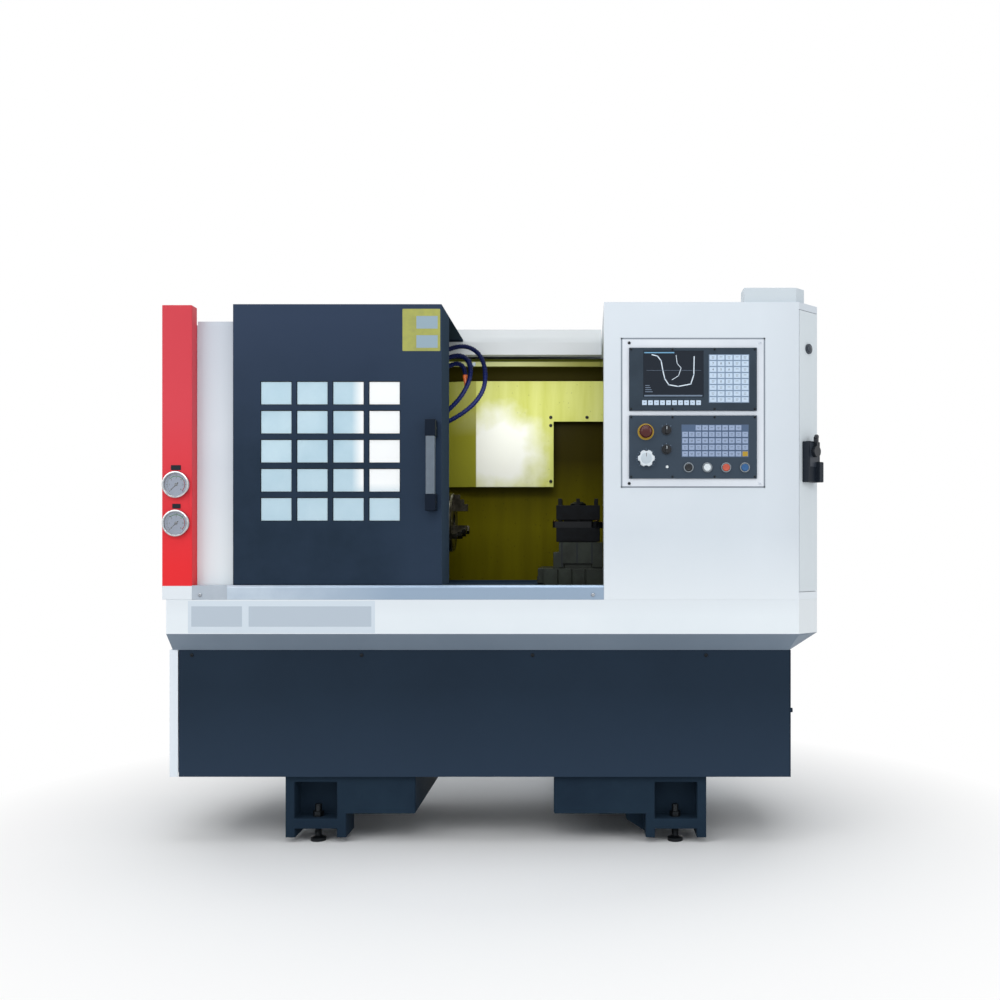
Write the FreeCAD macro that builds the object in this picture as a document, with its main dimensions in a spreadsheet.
"""A flat-bed turning lathe with a hydraulic chuck, inside a sheet-metal enclosure.

The frame: X runs to the operator's right, Y away from the operator and Z up. The origin is on
the floor under the middle of the machine. Every size is in millimetres and every formula below
is a sum of products of the sizes in the sheet.
"""
import FreeCAD
import Part
import Sketcher
import math
import os
import re

SIZES = {
    # Front plane of the enclosure, and sheet thickness.
    "front": -542,
    "wall": 3,
    "seat_gap": 0.3,
    "glide_gap": 0.4,
    # Heights above the floor, and the other top edges measured from the hood's.
    "cover_bottom": 207,
    "skirt_bottom": 594,
    "skirt_knee": 647,
    "sill_bottom": 750,
    "sill_top": 793,
    "hood_top": 1640,
    "cover_drop": 58,
    "column_drop": 6,
    "cabinet_rise": 3,
    "fan_box_height": 45,
    # Enclosure plan.
    "machine_left": -984,
    "machine_right": 984,
    "enclosure_depth": 700,
    "bevel_depth": 69,
    "bevel_left": 915,
    "bevel_inset": 0.414,
    "diagonal": 0.7071,
    "skirt_setback": 52,
    "skirt_foot_right": 897,
    "cover_setback": 52,
    "cover_left": -966,
    "cover_right": 897,
    "cover_return": 25,
    "base_gap": 50,
    "base_left": -994,
    "base_left_width": 26,
    # Bed casting: body, legs and feet.
    "bed_left": -760,
    "bed_right": 680,
    "bed_front": 250,
    "bed_back": 590,
    "bed_underside": 300,
    "bed_deck": 760,
    "ways_top": 790,
    "way_width": 50,
    "way_chamfer": 12,
    "front_way_margin": 12,
    "rear_way_margin": 10,
    "well_left": -230,
    "well_right": 480,
    "well_front": 330,
    "well_width": 180,
    "well_bottom": 420,
    "window_left": -150,
    "window_width": 260,
    "window_bottom": 480,
    "window_height": 170,
    "left_leg_left": -646,
    "left_leg_width": 399,
    "right_leg_left": 177,
    "right_leg_width": 468,
    "leg_front": 70,
    "leg_overhang": 20,
    "leg_underside": 90,
    "foot_width": 186,
    "foot_length": 120,
    "foot_underside": 16,
    "pocket_width": 130,
    "pocket_depth": 72,
    "pocket_bottom": 75,
    "pocket_top": 187,
    "arch_width": 128,
    "arch_top": 43,
    "gusset_reach": 58,
    "gusset_toe": 54,
    "gusset_thickness": 40,
    "tray_bracket_width": 60,
    "tray_bracket_reach": 25,
    "tray_bracket_height": 45,
    "tray_bracket_left": -520,
    "tray_bracket_spacing": 880,
    # Levelling screws.
    "screw_radius": 10,
    "screw_play": 1,
    "screw_top": 112,
    "pad_radius": 24,
    "pad_height": 10,
    "nut_radius": 17,
    "nut_height": 16,
    # Chip pan floor inside the skirt.
    "pan_floor": 640,
    "pan_margin": 14,
    "pan_bed_gap": 2,
    # Vent slots in sheet panels.
    "slot_length": 150,
    "slot_height": 8,
    "slot_pitch": 22,
    "slot_count": 9,
    "base_vent_bottom": 330,
    "base_vent_front": 260,
    "guard_vent_left": -760,
    "guard_vent_bottom": 1150,
    # Chip chute and coolant tank behind the right leg.
    "chute_left": 250,
    "chute_width": 320,
    "chute_bottom": 345,
    "chute_height": 160,
    "tank_left": 190,
    "tank_width": 440,
    "tank_gap": 0.3,
    "tank_length": 481.7,
    "tank_bottom": 46,
    "tank_height": 280,
    "castor_radius": 23,
    "castor_width": 22,
    "castor_inset": 50,
    "pump_radius": 62,
    "pump_height": 210,
    "pump_flange_radius": 78,
    "pump_flange_height": 12,
    "pump_inset": 110,
    "panel_knob_radius": 7,
    "panel_knob_length": 12,
    "panel_knob_depth": 90,
    "panel_knob_height": 405,
    # Sill rail under the sliding door.
    "sill_left": -900,
    "sill_width": 38,
    "sill_chamfer": 6,
    # Headstock cover and gauge column.
    "cover_face": 41,
    "headstock_cover_right": -300,
    "column_left": -996,
    "column_width": 90,
    "column_depth": 262,
    "crown_depth": 42,
    "gauge_left": -952,
    "upper_gauge": 1095,
    "gauge_spacing": 115.5,
    "gauge_radius": 40,
    "gauge_barrel": 36,
    "gauge_play": 0.3,
    "gauge_depth": 25,
    "gauge_height": 13,
    "gauge_bezel": 5,
    "gauge_dial": 4,
    "needle_length": 27,
    "needle_tail": 8,
    "needle_width": 2.4,
    "needle_hub": 4,
    "needle_thickness": 1.2,
    # Rear guard with its top beam, and the ledge that carries the door's roof.
    "beam_face": 576,
    "beam_slope": 8,
    "knee_drop": 4,
    "beam_rise": 38,
    "ledge_reach": 24,
    "ledge_drop": 12,
    # Right cabinet.
    "cabinet_left": 330,
    "console_depth": 150,
    "partition_left": 690,
    "door_opening_bottom": 772,
    "opening_drop": 18,
    "opening_rim": 55,
    "panel_opening_left": 382,
    "panel_opening_width": 430,
    "panel_opening_bottom": 1087,
    "panel_opening_height": 447,
    # Fan box on the cabinet's roof.
    "fan_box_left": 751,
    "fan_box_right": 938,
    "fan_box_front": 8,
    "fan_box_depth": 64,
    "fan_box_bevel": 30,
    "fan_slot_count": 6,
    "fan_slot_pitch": 34,
    # Cabinet door and its hinges.
    "door_gap": 1.5,
    "door_lap": 2,
    "pin_radius": 3.5,
    "pin_play": 0.06,
    "knuckle_radius": 5.5,
    "knuckle_length": 40,
    "lower_hinge": 900,
    "upper_hinge": 1480,
    "leaf_thickness": 3,
    "leaf_length": 28,
    # Chamber lining and splash plate.
    "lining_front": 60,
    "lining_bottom": 646,
    "lining_drop": 64,
    "lining_gap": 57,
    "lip_front": 600,
    "lip_height": 28,
    "spindle_hole": 110,
    "bed_gap": 5,
    "plate_step_depth": 43,
    "plate_top": 1497,
    "plate_bottom": 1120,
    "plate_step": 1353,
    "plate_step_left": 160,
    "plate_fold": -116,
    # Operator panel and its modules.
    "panel_margin": 3,
    "panel_proud": 1,
    "panel_flange": 9,
    "module_left": 405,
    "module_width": 383,
    "module_proud": 5,
    "module_inset": 10,
    "module_body": 60,
    "display_bottom": 1316,
    "display_height": 189,
    "controls_bottom": 1113,
    "controls_height": 189,
    "screen_left": 448,
    "screen_width": 180,
    "screen_bottom": 1356.5,
    "screen_height": 139.5,
    "screen_recess": 3,
    "screen_thickness": 2,
    "key_height": 1.6,
    "softkey_left": 444,
    "softkey_pitch": 18,
    "softkey_width": 14,
    "softkey_bottom": 1333,
    "softkey_height": 14,
    "softkey_count": 10,
    "letter_left": 646,
    "letter_pitch": 24,
    "letter_width": 20.5,
    "letter_count": 5,
    "letter_bottom": 1342,
    "letter_rise": 18,
    "letter_height": 14.5,
    "letter_rows": 8,
    "keypad_left": 564,
    "keypad_pitch": 20,
    "keypad_width": 17,
    "keypad_count": 10,
    "keypad_bottom": 1179,
    "keypad_rise": 19.5,
    "keypad_height": 15.5,
    "keypad_rows": 5,
    # Buttons, selectors and the override knob.
    "button_bottom": 1146,
    "button_left": 583,
    "button_pitch": 56.2,
    "button_radius": 10.9,
    "button_play": 0.4,
    "button_height": 6,
    "cap_chamfer": 1,
    "button_travel": 3,
    "button_depth": 14,
    "bezel_radius": 15,
    "bezel_height": 4,
    "stop_left": 455,
    "stop_bottom": 1253,
    "stop_radius": 19.5,
    "stop_stem": 10,
    "stop_gap": 8,
    "stop_height": 24,
    "stop_ring": 16,
    "selector_left": 517,
    "upper_selector": 1258,
    "selector_spacing": 58,
    "selector_radius": 11.5,
    "selector_height": 7,
    "grip_width": 6,
    "grip_height": 17,
    "override_left": 456,
    "override_bottom": 1173,
    "override_radius": 25,
    "override_height": 17,
    "knob_chamfer": 3,
    "override_scallop": 8,
    "override_lobes": 6,
    # Main switch and lock on the cabinet's bevel.
    "switch_height": 1165,
    "switch_width": 62,
    "switch_tall": 123,
    "switch_proud": 22,
    "switch_bump": 34.7,
    "switch_hub_radius": 17,
    "switch_hub_height": 12,
    "lever_length": 44,
    "lever_width": 9,
    "lever_ball": 7,
    "lock_height": 1508,
    "lock_radius": 15,
    "lock_proud": 5,
    "lock_stem": 8,
    "lock_stem_length": 24,
    "cam_length": 34,
    "cam_width": 14,
    "cam_thickness": 3,
    # Sliding door.
    "door_face": 14,
    "door_left": -788,
    "door_width": 629,
    "door_thickness": 24,
    "door_side_depth": 175,
    "roof_gap": 4,
    "roof_flange": 10,
    "glide_width": 60,
    "glide_depth": 12,
    "pane_left": -705,
    "pane_pitch": 108.8,
    "pane_width": 94.5,
    "pane_columns": 4,
    "pane_bottom": 986,
    "pane_rise": 87.6,
    "pane_height": 71,
    "pane_rows": 5,
    "glass_margin": 10,
    "glass_thickness": 5,
    "handle_left": -202,
    "handle_width": 31,
    "handle_bottom": 1016,
    "handle_tall": 272,
    "mount_tall": 50,
    "handle_reach": 52,
    "grip_depth": 20,
    "grip_inset": 1.5,
    "grip_round": 6,
    # Spindle line.
    "spindle_depth": 420,
    "spindle_height": 990,
    "spindle_rear": -860,
    "spindle_nose": -262,
    "spindle_radius": 45,
    "spindle_bore": 25,
    "spindle_play": 0.06,
    "nose_radius": 68,
    "nose_length": 40,
    "pulley_rear": -800,
    "pulley_width": 50,
    "pulley_radius": 70,
    "headstock_left": -700,
    "headstock_right": -330,
    "headstock_front": 270,
    "headstock_back": 570,
    "headstock_top": 1120,
    "headstock_chamfer": 40,
    "headstock_wall": 42,
    "headstock_cavity": 95,
    "cap_radius": 100,
    "cap_length": 14,
    "chuck_radius": 100,
    "chuck_length": 90,
    "chuck_bore": 30,
    "chuck_chamfer": 4,
    "jaw_width": 20,
    "jaw_play": 0.3,
    "jaw_inner": 38,
    "jaw_outer": 94,
    "jaw_root": 10,
    "jaw_step": 16,
    "jaw_rise": 20,
    "jaw_tread": 13.5,
    # Motor and belt above the headstock.
    "motor_depth": 470,
    "motor_height": 1222,
    "motor_left": -730,
    "motor_length": 250,
    "motor_radius": 85,
    "fin_depth": 6,
    "fin_pitch": 40,
    "fin_count": 5,
    "fin_width": 24,
    "motor_foot_width": 190,
    "motor_foot_depth": 118,
    "motor_foot_top": 1150,
    "motor_shaft": 14,
    "motor_bore_depth": 40,
    "motor_pulley_radius": 50,
    "belt_thickness": 6,
    "belt_margin": 3,
    # Carriage, cross slide and tool post.
    "saddle_left": 120,
    "saddle_width": 260,
    "saddle_front": 252,
    "saddle_back": 588,
    "saddle_top": 838,
    "apron_left": 140,
    "apron_width": 220,
    "apron_depth": 34,
    "apron_bottom": 700,
    "apron_groove": 5,
    "apron_groove_count": 3,
    "apron_groove_pitch": 44,
    "guide_width": 90,
    "guide_height": 14,
    "slide_left": 170,
    "slide_width": 160,
    "slide_front": 245,
    "slide_length": 275,
    "slide_top": 890,
    "post_x": 250,
    "post_depth": 340,
    "riser_half": 62,
    "post_bottom": 924,
    "post_half": 71,
    "post_top": 1043,
    "tool_size": 20,
    "tool_slot_depth": 23,
    "tool_slot_room": 6,
    "tool_reach": 12,
    "tool_seat": 2.7,
    "tool_tail": -44,
    "clamp_bolt_radius": 6,
    "clamp_bolt_top": 22,
    "clamp_bolt_inset": 12,
    "post_lever_radius": 26,
    "post_cap_height": 14,
    # Tailstock.
    "tail_left": 520,
    "tail_foot_top": 830,
    "tail_barrel_radius": 48,
    "tail_half_foot": 95,
    "tail_half_top": 55,
    "tail_top": 1010,
    "quill_radius": 30,
    "quill_front": 470,
    "quill_length": 160,
    "centre_radius": 18,
    "centre_step": 8.8,
    "centre_tip": 40,
    # Coolant manifold, hoses and nozzles.
    "manifold_left": -296.7,
    "manifold_width": 30,
    "manifold_depth": 380,
    "manifold_length": 90,
    "manifold_bottom": 1478,
    "manifold_height": 84,
    "outlet_radius": 10,
    "outlet_length": 18,
    "hose_radius": 7,
    "nozzle_radius": 8,
    "nozzle_tip": 4,
    "nozzle_length": 34,
}

doc = FreeCAD.newDocument("turning_lathe")
sheet = doc.addObject("Spreadsheet::Sheet", "sizes")
for row, (alias, value) in enumerate(SIZES.items(), start=1):
    sheet.set(f"A{row}", alias)
    sheet.set(f"B{row}", str(value))
    sheet.setAlias(f"B{row}", alias)
doc.recompute()

SIZE_NAME = re.compile(r"[a-z][a-z_]*")
nodes = []


def linked(formula):
    """A formula as the document reads it, each size looked up in the sheet."""
    return SIZE_NAME.sub(lambda word: "sizes." + word.group(), str(formula))


def factor(word):
    """One word of a formula: the name of a size or a plain number."""
    return float(sheet.get(word)) if SIZE_NAME.fullmatch(word) else float(word)


def number(formula):
    """The value of a formula, which is a sum of products and quotients."""
    total = 0.0
    for term in str(formula).replace(" - ", " + -").split(" + "):
        sign = -1.0 if term.startswith("-") else 1.0
        words = term.lstrip("-").split()
        product = factor(words[0])
        for operator, word in zip(words[1::2], words[2::2]):
            product = product * factor(word) if operator == "*" else product / factor(word)
        total += sign * product
    return total


def place(piece, x, y, z, rotation=None):
    """Bind a piece's position to the sheet, after turning it."""
    where = FreeCAD.Vector(number(x), number(y), number(z))
    piece.Placement = FreeCAD.Placement(where, rotation or FreeCAD.Rotation())
    for axis, formula in (("x", x), ("y", y), ("z", z)):
        piece.setExpression(f"Placement.Base.{axis}", linked(formula))
    return piece


ALONG_X = FreeCAD.Rotation(FreeCAD.Vector(0, 1, 0), 90)
TO_OPERATOR = FreeCAD.Rotation(FreeCAD.Vector(1, 0, 0), 90)
OFF_BEVEL = FreeCAD.Rotation(FreeCAD.Vector(0, 0, 1), 45) * TO_OPERATOR


def box(name, x, y, z, width, depth, height):
    piece = doc.addObject("Part::Box", name)
    for side, formula in (("Length", width), ("Width", depth), ("Height", height)):
        piece.setExpression(side, linked(formula))
    return place(piece, x, y, z)


def rod(name, x, y, z, radius, length, rotation=None):
    piece = doc.addObject("Part::Cylinder", name)
    piece.setExpression("Radius", linked(radius))
    piece.setExpression("Height", linked(length))
    return place(piece, x, y, z, rotation)


def outline(body, plane, corners, offset):
    """A closed outline of straight edges in a plane of the body's own, at an offset from it."""
    sketch = body.newObject("Sketcher::SketchObject", body.Name + "_outline")
    support = next(item for item in body.Origin.OriginFeatures if item.Role == plane)
    sketch.AttachmentSupport = [(support, "")]
    sketch.MapMode = "FlatFace"
    sketch.setExpression("AttachmentOffset.Base.z", offset)
    points = [FreeCAD.Vector(number(across), number(up), 0) for across, up in corners]
    following = points[1:] + points[:1]
    for start, end in zip(points, following):
        sketch.addGeometry(Part.LineSegment(start, end), False)
    count = len(points)
    for edge in range(count):
        sketch.addConstraint(Sketcher.Constraint("Coincident", edge, 2, (edge + 1) % count, 1))
    for edge, (point, corner) in enumerate(zip(points, corners)):
        for kind, value, formula in zip(("DistanceX", "DistanceY"), point, corner):
            place_on = Sketcher.Constraint(kind, -1, 1, edge, 1, value)
            constraint = sketch.addConstraint(place_on)
            sketch.setExpression(f"Constraints[{constraint}]", linked(formula))
    return sketch


def prism(name, plane, corners, start, length):
    """A padded outline. It runs from start towards +Z, +Y or +X, square to its plane."""
    body = doc.addObject("PartDesign::Body", name)
    towards_back = plane == "XZ_Plane"
    offset = f"-1 * ({linked(start)})" if towards_back else linked(start)
    sketch = outline(body, plane, corners, offset)
    pad = body.newObject("PartDesign::Pad", name + "_pad")
    pad.Profile = sketch
    pad.Reversed = towards_back
    pad.setExpression("Length", linked(length))
    return body


def lofted(name, lower, start, upper, end):
    """A straight loft between two outlines of as many corners, one above the other."""
    body = doc.addObject("PartDesign::Body", name)
    foot = outline(body, "XY_Plane", lower, linked(start))
    head = outline(body, "XY_Plane", upper, linked(end))
    loft = body.newObject("PartDesign::AdditiveLoft", name + "_loft")
    loft.Profile = foot
    loft.Sections = [head]
    loft.Ruled = True
    return body


def turned(name, corners, x, y, z, rotation=None):
    """A body of revolution. Its corners are (radius, height) on its own Z axis."""
    body = doc.addObject("PartDesign::Body", name)
    sketch = outline(body, "XZ_Plane", corners, "0")
    revolution = body.newObject("PartDesign::Revolution", name + "_turning")
    revolution.Profile = sketch
    revolution.ReferenceAxis = (sketch, ["V_Axis"])
    revolution.Angle = 360
    return place(body, x, y, z, rotation)


def fuse(name, *pieces):
    joined = doc.addObject("Part::MultiFuse", name)
    joined.Shapes = list(pieces)
    joined.Refine = True
    return joined


def cut(name, base, *tools):
    piece = doc.addObject("Part::Cut", name)
    piece.Base = base
    piece.Tool = tools[0] if len(tools) == 1 else fuse(name + "_tools", *tools)
    piece.Refine = True
    return piece


def loose(name, *pieces):
    """Separate pieces that share one file."""
    group = doc.addObject("Part::Compound", name)
    group.Links = list(pieces)
    return group


def node(label, piece):
    """Name a finished sub-part. The label is its file's name."""
    piece.Label = label
    nodes.append(piece)
    return piece


def scaled(formula, scale):
    """Every term of a sum times a factor."""
    return " + ".join(f"{scale} * {term}" for term in formula.split(" + "))


def off_bevel(out, height):
    """The point at a height that stands out from the middle of the cabinet's bevel."""
    x = "bevel_left / 2 + machine_right / 2 + " + scaled(out, "diagonal")
    y = "front + bevel_depth / 2 + " + scaled(out, "-1 * diagonal")
    return x, y, height


def counted(alias):
    return int(number(alias))


# ---- Cast bed, its levelling screws and the sheet-metal base ----

def foot_places():
    """Each foot's name, left side, front side and the side its pocket opens to."""
    lefts = {"left": "left_leg_left", "right": "right_leg_left + right_leg_width - foot_width"}
    fronts = {"front": "front + leg_front", "rear": "front + bed_back + leg_overhang - foot_length"}
    for side, left in lefts.items():
        for end, depth in fronts.items():
            yield f"{end}_{side}", left, depth, end == "front"


def bed_casting():
    """One iron casting: a deck with two ways and a chip well, on two legs with pocketed feet."""
    deck = box("bed_deck_block", "bed_left", "front + bed_front", "bed_underside",
               "bed_right - bed_left", "bed_back - bed_front", "bed_deck - bed_underside")
    solids = [deck]
    for name, start in (("front_way", "bed_front + front_way_margin"),
                        ("rear_way", "bed_back - rear_way_margin - way_width")):
        near, far = f"front + {start}", f"front + {start} + way_width"
        rail = prism(name, "YZ_Plane", [
            (near, "bed_deck"), (far, "bed_deck"), (far, "ways_top - way_chamfer"),
            (far + " - way_chamfer", "ways_top"), (near + " + way_chamfer", "ways_top"),
            (near, "ways_top - way_chamfer")], "bed_left", "bed_right - bed_left")
        solids.append(rail)
    seat = box("headstock_seat", "bed_left",
               "front + bed_front + front_way_margin + way_width", "bed_deck",
               "headstock_right - bed_left",
               "bed_back - bed_front - front_way_margin - rear_way_margin - 2 * way_width",
               "ways_top - bed_deck")
    solids.append(seat)
    for side in ("left", "right"):
        leg = box(f"{side}_leg", f"{side}_leg_left", "front + leg_front", "leg_underside",
                  f"{side}_leg_width", "bed_back + leg_overhang - leg_front",
                  "bed_underside - leg_underside")
        solids.append(leg)
    cavities = []
    for name, left, depth, faces_operator in foot_places():
        solids.append(box(name + "_foot", left, depth, "foot_underside",
                          "foot_width", "foot_length", "leg_underside - foot_underside"))
        inset = f"{left} + foot_width / 2 - pocket_width / 2"
        mouth = depth if faces_operator else f"{depth} + foot_length - pocket_depth"
        cavities.append(box(name + "_pocket", inset, mouth, "pocket_bottom",
                            "pocket_width", "pocket_depth", "pocket_top - pocket_bottom"))
        cavities.append(box(name + "_arch", f"{left} + foot_width / 2 - arch_width / 2", depth,
                            "foot_underside", "arch_width", "foot_length",
                            "arch_top - foot_underside"))
        bolt_y = f"{depth} + pocket_depth / 2" if faces_operator else \
            f"{depth} + foot_length - pocket_depth / 2"
        cavities.append(rod(name + "_bolt_hole", f"{left} + foot_width / 2", bolt_y,
                            "foot_underside", "screw_radius + screw_play",
                            "pocket_top - foot_underside"))
    foot_inside = "right_leg_left + right_leg_width - foot_width"
    gusset = prism("foot_gusset", "XZ_Plane", [
        (foot_inside + " - gusset_reach", "leg_underside"), (foot_inside, "leg_underside"),
        (foot_inside, "foot_underside"), (foot_inside + " - gusset_reach", "gusset_toe")],
        "front + leg_front + foot_length - gusset_thickness", "gusset_thickness")
    solids.append(gusset)
    for number_of, depth in enumerate(("front + bed_front - tray_bracket_reach",
                                       "front + bed_back")):
        for step in range(2):
            left = f"tray_bracket_left + {step} * tray_bracket_spacing"
            solids.append(box(f"tray_bracket_{number_of}{step}", left, depth,
                              "pan_floor - tray_bracket_height", "tray_bracket_width",
                              "tray_bracket_reach", "tray_bracket_height"))
    cavities.append(box("chip_well", "well_left", "front + well_front", "well_bottom",
                        "well_right - well_left", "well_width", "ways_top - well_bottom"))
    cavities.append(box("bed_window", "window_left", "front + bed_front", "window_bottom",
                        "window_width", "bed_back - bed_front", "window_height"))
    cavities.append(box("bed_arch", "left_leg_left + left_leg_width", "front + bed_front",
                        "bed_underside", "right_leg_left - left_leg_left - left_leg_width",
                        "bed_back - bed_front", "well_bottom - bed_underside - pocket_depth"))
    whole = fuse("bed_blank", *solids)
    return node("bed_casting", cut("bed", whole, *cavities))


def levelling_screws():
    """Four jack screws, each with its round pad below and its hexagon nut in the foot's pocket."""
    screws = []
    for name, left, depth, faces_operator in foot_places():
        x = f"{left} + foot_width / 2"
        y = f"{depth} + pocket_depth / 2" if faces_operator else \
            f"{depth} + foot_length - pocket_depth / 2"
        stem = turned(name + "_stem", [
            ("0", "0"), ("pad_radius", "0"), ("pad_radius", "pad_height"),
            ("screw_radius", "foot_underside"), ("screw_radius", "screw_top"), ("0", "screw_top")],
            x, y, "0")
        nut = doc.addObject("Part::Prism", name + "_nut")
        nut.Polygon = 6
        nut.setExpression("Circumradius", linked("nut_radius"))
        nut.setExpression("Height", linked("nut_height"))
        place(nut, x, y, "pocket_bottom")
        screws.append(fuse(name + "_screw", stem, nut))
    return node("levelling_screws", loose("screws", *screws))


def base_covers():
    """The folded covers of the base: dark front and rear, and the two end panels."""
    inner = "cover_setback + wall"
    height = "skirt_bottom - cover_bottom"
    front_cover = prism("front_cover", "XY_Plane", [
        ("cover_left", "front + cover_setback"), ("cover_right", "front + cover_setback"),
        ("cover_right", "front + cover_setback + cover_return"),
        ("cover_right - wall", "front + cover_setback + cover_return"),
        ("cover_right - wall", "front + " + inner), ("cover_left + wall", "front + " + inner),
        ("cover_left + wall", "front + cover_setback + cover_return"),
        ("cover_left", "front + cover_setback + cover_return")], "cover_bottom", height)
    node("base_front_cover", front_cover)

    flange = "base_left + base_left_width - seat_gap"
    panel = prism("left_panel_sheet", "XY_Plane", [
        ("base_left", "front + cover_setback"), (flange, "front + cover_setback"),
        (flange, "front + " + inner), ("base_left + wall", "front + " + inner),
        ("base_left + wall", "front + bed_back + base_gap - wall"),
        (flange, "front + bed_back + base_gap - wall"), (flange, "front + bed_back + base_gap"),
        ("base_left", "front + bed_back + base_gap")],
        "cover_bottom", height)
    slots = [box(f"left_slot_{step}", "base_left", "front + base_vent_front",
                 f"base_vent_bottom + {step} * slot_pitch", "wall", "slot_length", "slot_height")
             for step in range(counted("slot_count"))]
    node("base_left_panel", cut("left_panel", panel, *slots))

    near = "cover_right + seat_gap"
    flange = "cover_right - cover_return"
    panel = prism("right_panel_sheet", "XY_Plane", [
        (near, "front + cover_setback"), (near + " + wall", "front + cover_setback"),
        (near + " + wall", "front + bed_back + base_gap"), (flange, "front + bed_back + base_gap"),
        (flange, "front + bed_back + base_gap - wall"), (near, "front + bed_back + base_gap - wall")],
        "cover_bottom", height)
    knob = rod("panel_knob", near + " + wall", "front + panel_knob_depth", "panel_knob_height",
               "panel_knob_radius", "panel_knob_length", ALONG_X)
    node("base_right_panel", fuse("right_panel", panel, knob))

    left = "base_left + base_left_width"
    sheet_metal = box("rear_cover_sheet", left, "front + bed_back + base_gap - wall", "cover_bottom",
                      "cover_right - cover_return - seat_gap - base_left - base_left_width",
                      "wall", height)
    chute = box("chute_opening", "chute_left", "front + bed_back + base_gap - wall", "chute_bottom",
                "chute_width", "wall", "chute_height")
    node("base_rear_cover", cut("rear_cover", sheet_metal, chute))


def skirt_band():
    """The chip pan that rings the machine: upright walls over a chamfered foot, and a floor."""
    def plan(left, edge, inset, right):
        return [(left, f"front + {edge}"), (f"bevel_left - {inset}", f"front + {edge}"),
                (right, f"front + bevel_depth + {inset}"), (right, "front + enclosure_depth"),
                (left, "front + enclosure_depth")]

    def foot(left, edge, right):
        return [(left, f"front + {edge}"), (f"{right} - wall", f"front + {edge}"),
                (right, f"front + {edge} + wall"), (right, "front + enclosure_depth"),
                (left, "front + enclosure_depth")]

    top = plan("machine_left", "0", "0", "machine_right")
    shell = fuse("skirt_shell",
                 lofted("skirt_foot", foot("machine_left", "skirt_setback", "skirt_foot_right"),
                        "skirt_bottom", top, "skirt_knee"),
                 prism("skirt_wall", "XY_Plane", top, "skirt_knee", "sill_bottom - skirt_knee"))
    hollow_top = plan("machine_left + wall", "wall", "bevel_inset * wall", "machine_right - wall")
    hollow_top[3:] = [("machine_right - wall", "front + enclosure_depth - wall"),
                      ("machine_left + wall", "front + enclosure_depth - wall")]
    hollow_foot = foot("machine_left + wall", "skirt_setback + wall", "skirt_foot_right - wall")
    hollow_foot[3:] = [("skirt_foot_right - wall", "front + enclosure_depth - wall"),
                       ("machine_left + wall", "front + enclosure_depth - wall")]
    hollow = fuse("skirt_hollow",
                  lofted("hollow_foot", hollow_foot, "skirt_bottom", hollow_top, "skirt_knee"),
                  prism("hollow_wall", "XY_Plane", hollow_top, "skirt_knee",
                        "sill_bottom - skirt_knee"))
    ring = cut("skirt_ring", shell, hollow)
    floor = box("pan_sheet", "machine_left + wall / 2", "front + pan_margin", "pan_floor",
                "machine_right - machine_left - bevel_depth",
                "enclosure_depth - pan_margin - wall / 2", "wall")
    floor_inside = doc.addObject("Part::MultiCommon", "pan_floor_inside")
    floor_inside.Shapes = [floor, shell]
    passage = box("bed_passage", "bed_left - pan_bed_gap", "front + bed_front - pan_bed_gap",
                  "pan_floor", "bed_right - bed_left + 2 * pan_bed_gap",
                  "bed_back - bed_front + 2 * pan_bed_gap", "wall")
    pan = cut("pan_floor_sheet", floor_inside, passage)
    node("skirt_band", fuse("skirt", ring, pan))


def coolant_tank():
    """The wheeled chip and coolant tank behind the machine, with its upright motor pump."""
    back = "front + bed_back + base_gap + tank_gap"
    shell = box("tank_shell", "tank_left", back, "tank_bottom",
                "tank_width", "tank_length", "tank_height")
    room = box("tank_room", "tank_left + wall", back + " + wall", "tank_bottom + wall",
               "tank_width - 2 * wall", "tank_length - 2 * wall", "tank_height")
    open_tank = cut("open_tank", shell, room)
    pump_x = "tank_left + tank_width / 2"
    pump_y = back + " + tank_length - pump_inset"
    shelf = box("pump_shelf", "tank_left", pump_y + " - pump_inset",
                "tank_bottom + tank_height - wall", "tank_width", "2 * pump_inset", "wall")
    pump = turned("pump_motor", [
        ("0", "0"), ("pump_flange_radius", "0"), ("pump_flange_radius", "pump_flange_height"),
        ("pump_radius", "pump_flange_height"), ("pump_radius", "pump_height"),
        ("0", "pump_height")], pump_x, pump_y, "tank_bottom + tank_height")
    castors = []
    for across in (0, 1):
        for along in (0, 1):
            x = f"tank_left + castor_inset + {across} * tank_width - {across * 2} * castor_inset" \
                " - castor_width / 2"
            y = back + f" + castor_inset + {along} * tank_length - {along * 2} * castor_inset"
            wheel = rod(f"castor_{across}{along}", x, y, "castor_radius",
                        "castor_radius", "castor_width", ALONG_X)
            fork = box(f"castor_fork_{across}{along}", x, y + " - castor_width / 2",
                       "castor_radius", "castor_width", "castor_width",
                       "tank_bottom - castor_radius")
            castors.append(fuse(f"castor_whole_{across}{along}", wheel, fork))
    node("coolant_tank", loose("tank", fuse("tank_basin", open_tank, shelf), pump, *castors))


def sill_rail():
    """A bent steel channel along the front, with a chamfered nose, that the door glides on."""
    near = "front"
    rail = prism("rail", "YZ_Plane", [
        (near, "sill_bottom"), (near, "sill_top - sill_chamfer"),
        (near + " + sill_chamfer", "sill_top"), (near + " + sill_width", "sill_top"),
        (near + " + sill_width", "sill_top - wall"),
        (near + " + sill_chamfer + bevel_inset * wall", "sill_top - wall"),
        (near + " + wall", "sill_top - sill_chamfer - bevel_inset * wall"),
        (near + " + wall", "sill_bottom")], "sill_left", "cabinet_left - sill_left")
    node("sill_rail", rail)


bed_casting()
levelling_screws()
base_covers()
skirt_band()
coolant_tank()
sill_rail()


# ---- Upper enclosure ----

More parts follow.
